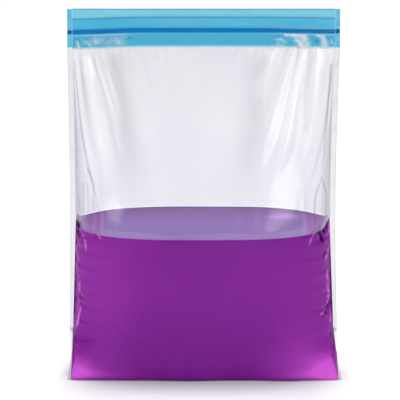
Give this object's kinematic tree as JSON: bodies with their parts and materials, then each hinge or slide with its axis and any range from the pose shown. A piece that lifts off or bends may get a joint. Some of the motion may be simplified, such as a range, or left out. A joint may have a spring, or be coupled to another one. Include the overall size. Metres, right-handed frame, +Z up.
{
  "type": "reusable storage bag",
  "caption": "Clear stand-up storage bag with a tinted press-to-close header, holding a coloured liquid.",
  "frame": {"origin": "on the floor, under the middle of the bag's base", "axes": "+Z up, from the base to the lips; +X to the bag's right as seen from the front; -Y is the front"},
  "size_m": [0.285, 0.105, 0.39],
  "materials": {
    "clear_film": "clear, glossy",
    "sealed_film": "clear, melted",
    "header_tint": "tinted, glossy",
    "zip_blue": "glossy",
    "purple_liquid": "still liquid"
  },
  "bodies": {
    "bag": {"front_wall_lower": "clear_film", "rear_wall_lower": "clear_film", "bottom_gusset": "clear_film", "left_side_seal": "sealed_film", "right_side_seal": "sealed_film", "front_left_foot": "sealed_film", "front_right_foot": "sealed_film", "rear_left_foot": "sealed_film", "rear_right_foot": "sealed_film", "left_header_seal": "header_tint", "right_header_seal": "header_tint", "left_zip_end_stop": "zip_blue", "right_zip_end_stop": "zip_blue", "liquid_fill": "purple_liquid"},
    "front_mouth": {"front_wall_upper": "clear_film", "front_header_tape": "header_tint", "zip_channel": "zip_blue"},
    "rear_mouth": {"rear_wall_upper": "clear_film", "rear_header_tape": "header_tint", "zip_rib": "zip_blue"}
  },
  "joints": [
    {"name": "front_mouth_open", "type": "hinge", "parent": "bag", "child": "front_mouth", "pos_m": [0, -0.05, 0.165], "axis": [1, 0, 0], "range_deg": [0, 12]},
    {"name": "rear_mouth_open", "type": "hinge", "parent": "bag", "child": "rear_mouth", "pos_m": [0, 0.05, 0.165], "axis": [-1, 0, 0], "range_deg": [0, 12]}
  ]
}
